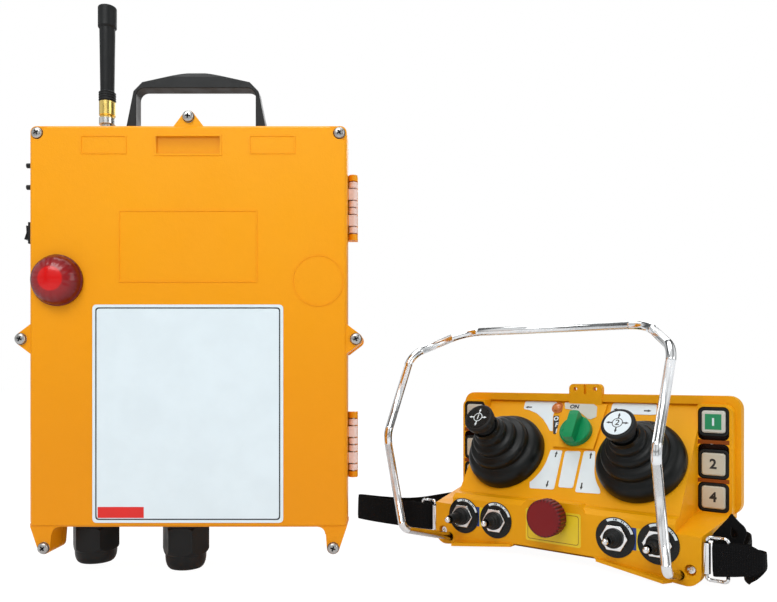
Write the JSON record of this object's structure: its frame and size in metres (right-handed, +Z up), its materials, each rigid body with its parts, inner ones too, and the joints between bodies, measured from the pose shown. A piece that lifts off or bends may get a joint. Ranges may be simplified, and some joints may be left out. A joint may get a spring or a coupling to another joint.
{
  "type": "crane radio remote control",
  "caption": "Radio control set for a crane: a receiver box with hinged lid, antenna and cable glands, and a belly-box transmitter with joysticks, toggles, stop button and guard rail.",
  "frame": {"origin": "middle of the transmitter's base, on the surface that both units stand on", "axes": "+Z up; the receiver's lid faces -Y and it stands on the -X side; the transmitter is turned 39.5 degrees about Z, towards -X"},
  "size_m": [0.6774, 0.3574, 0.522],
  "materials": {
    "case_paint": "satin orange-yellow enamel on castings",
    "case_plastic": "fine-textured orange-yellow moulding",
    "black_plastic": "moulded black",
    "black_rubber": "smooth black rubber",
    "gasket_rubber": "foam seal",
    "screw_steel": "plated steel",
    "rail_chrome": "polished chrome",
    "brass": "machined brass",
    "beacon_red": "translucent red lens",
    "stop_red": "dark red",
    "knob_green": "green",
    "lamp_amber": "amber lens",
    "cap_white": "off-white caps",
    "plate_white": "printed label stock, bare",
    "board_green": "circuit board",
    "relay_blue": "relay case",
    "core_iron": "laminated core",
    "terminal_green": "terminal block",
    "battery_wrap": "shrink wrap",
    "webbing": "woven black webbing",
    "gimbal_alloy": "turned alloy"
  },
  "bodies": {
    "root": {"receiver_box": "case_paint", "lid_gasket": "gasket_rubber", "hinge_pins": "screw_steel", "carry_handle": "black_plastic", "antenna_socket": "screw_steel", "antenna_plug": "brass", "antenna_whip": "black_rubber", "gland_bodies": "black_plastic", "gland_nuts": "black_plastic", "circuit_board": "board_green", "relays": "relay_blue", "transformer": "core_iron", "terminal_strips": "terminal_green", "front_shell": "case_plastic", "rear_shell": "case_plastic", "case_screws": "screw_steel", "guard_rail": "rail_chrome", "rail_screws": "rail_chrome", "joystick_bases": "black_plastic", "joystick_boots": "black_rubber", "toggle_dials": "black_plastic", "toggle_nuts": "rail_chrome", "toggle_bodies": "black_plastic", "toggle_boots": "black_rubber", "stop_collar": "black_plastic", "indicator_lens": "lamp_amber", "button_bezels": "black_plastic", "legend_plates": "plate_white", "strap_brackets": "rail_chrome", "waist_belt": "webbing", "battery_cover": "case_plastic", "battery_pack": "battery_wrap", "control_board": "board_green"},
    "lid": {"receiver_lid": "case_paint", "lid_screws": "screw_steel", "beacon_lens": "beacon_red", "side_fittings": "black_plastic", "name_plate": "plate_white"},
    "rocker": {"power_rocker": "black_plastic"},
    "stick_ring_left": {"gimbal_left": "gimbal_alloy"},
    "stick_left": {"lever_left": "screw_steel", "knob_left": "black_rubber"},
    "stick_ring_right": {"gimbal_right": "gimbal_alloy"},
    "stick_right": {"lever_right": "screw_steel", "knob_right": "black_rubber"},
    "stop_stem": {"stop_stem": "black_plastic"},
    "stop_head": {"stop_head": "stop_red"},
    "mode_knob": {"mode_knob": "knob_green"},
    "loop_left": {"strap_loop_left": "rail_chrome"},
    "loop_right": {"strap_loop_right": "rail_chrome"},
    "toggle_1": {"toggle_lever_1": "rail_chrome"},
    "toggle_2": {"toggle_lever_2": "rail_chrome"},
    "toggle_3": {"toggle_lever_3": "rail_chrome"},
    "toggle_4": {"toggle_lever_4": "rail_chrome"},
    "button_1": {"button_1": "cap_white"},
    "button_2": {"button_2": "cap_white"},
    "button_3": {"button_3": "cap_white"},
    "button_4": {"button_4": "cap_white"},
    "button_5": {"button_5": "cap_white"},
    "button_6": {"button_6": "cap_white"}
  },
  "joints": [
    {"name": "lid_hinge", "type": "hinge", "parent": "root", "child": "lid", "pos_m": [-0.2225, -0.082, 0.224], "axis": [0, 0, 1], "range_deg": [0, 100]},
    {"name": "rocker_tilt", "type": "hinge", "parent": "lid", "child": "rocker", "pos_m": [-0.5065, -0.094, 0.305], "axis": [0, 1, 0], "range_deg": [-16, 0]},
    {"name": "stick_left_pitch", "type": "hinge", "parent": "root", "child": "stick_ring_left", "pos_m": [-0.05743, 0.04431, 0.09255], "axis": [0.7716, -0.6361, 0], "range_deg": [-20, 20], "stiffness_Nm_per_rad": 0.3, "deforming": ["joystick_boots"]},
    {"name": "stick_left_roll", "type": "hinge", "parent": "stick_ring_left", "child": "stick_left", "pos_m": [-0.05743, 0.04431, 0.09255], "axis": [0.3648, 0.4426, 0.8192], "range_deg": [-20, 20], "stiffness_Nm_per_rad": 0.3, "deforming": ["joystick_boots"]},
    {"name": "stick_right_pitch", "type": "hinge", "parent": "root", "child": "stick_ring_right", "pos_m": [0.05445, -0.04792, 0.09255], "axis": [0.7716, -0.6361, 0], "range_deg": [-20, 20], "stiffness_Nm_per_rad": 0.3, "deforming": ["joystick_boots"]},
    {"name": "stick_right_roll", "type": "hinge", "parent": "stick_ring_right", "child": "stick_right", "pos_m": [0.05445, -0.04792, 0.09255], "axis": [0.3648, 0.4426, 0.8192], "range_deg": [-20, 20], "stiffness_Nm_per_rad": 0.3, "deforming": ["joystick_boots"]},
    {"name": "toggle_1_flip", "type": "hinge", "parent": "root", "child": "toggle_1", "pos_m": [-0.11178, 0.02476, 0.033], "axis": [0.7716, -0.6361, 0], "range_deg": [-12, 12], "deforming": ["toggle_boots"]},
    {"name": "toggle_2_flip", "type": "hinge", "parent": "root", "child": "toggle_2", "pos_m": [-0.08169, -0.00005, 0.033], "axis": [0.7716, -0.6361, 0], "range_deg": [-12, 12], "deforming": ["toggle_boots"]},
    {"name": "toggle_3_flip", "type": "hinge", "parent": "root", "child": "toggle_3", "pos_m": [0.01554, -0.0802, 0.033], "axis": [0.7716, -0.6361, 0], "range_deg": [-12, 12], "deforming": ["toggle_boots"]},
    {"name": "toggle_4_flip", "type": "hinge", "parent": "root", "child": "toggle_4", "pos_m": [0.04563, -0.105, 0.033], "axis": [0.7716, -0.6361, 0], "range_deg": [-12, 12], "deforming": ["toggle_boots"]},
    {"name": "stop_push", "type": "slide", "parent": "root", "child": "stop_stem", "axis": [0.6361, 0.7716, 0], "range_m": [0, 0.004], "stiffness_N_per_m": 900},
    {"name": "stop_release", "type": "hinge", "parent": "stop_stem", "child": "stop_head", "pos_m": [-0.0353, -0.04283, 0.045], "axis": [-0.6361, -0.7716, 0], "range_deg": [-45, 0], "stiffness_Nm_per_rad": 0.05},
    {"name": "mode_turn", "type": "hinge", "parent": "root", "child": "mode_knob", "pos_m": [0.00336, 0.00407, 0.12262], "axis": [-0.521, -0.6321, 0.5736], "range_deg": [0, 60]},
    {"name": "button_1_press", "type": "slide", "parent": "root", "child": "button_1", "axis": [0.6361, 0.7716, 0], "range_m": [0, 0.0025], "stiffness_N_per_m": 400},
    {"name": "button_2_press", "type": "slide", "parent": "root", "child": "button_2", "axis": [0.6361, 0.7716, 0], "range_m": [0, 0.0025], "stiffness_N_per_m": 400},
    {"name": "button_3_press", "type": "slide", "parent": "root", "child": "button_3", "axis": [0.6361, 0.7716, 0], "range_m": [0, 0.0025], "stiffness_N_per_m": 400},
    {"name": "button_4_press", "type": "slide", "parent": "root", "child": "button_4", "axis": [0.6361, 0.7716, 0], "range_m": [0, 0.0025], "stiffness_N_per_m": 400},
    {"name": "button_5_press", "type": "slide", "parent": "root", "child": "button_5", "axis": [0.6361, 0.7716, 0], "range_m": [0, 0.0025], "stiffness_N_per_m": 400},
    {"name": "button_6_press", "type": "slide", "parent": "root", "child": "button_6", "axis": [0.6361, 0.7716, 0], "range_m": [0, 0.0025], "stiffness_N_per_m": 400},
    {"name": "loop_left_swing", "type": "hinge", "parent": "root", "child": "loop_left", "pos_m": [-0.13895, 0.05389, 0.026], "axis": [0, 0, 1], "range_deg": [-25, 25], "deforming": ["waist_belt"]},
    {"name": "loop_right_swing", "type": "hinge", "parent": "root", "child": "loop_right", "pos_m": [0.07942, -0.12612, 0.026], "axis": [0, 0, 1], "range_deg": [-25, 25], "deforming": ["waist_belt"]}
  ]
}
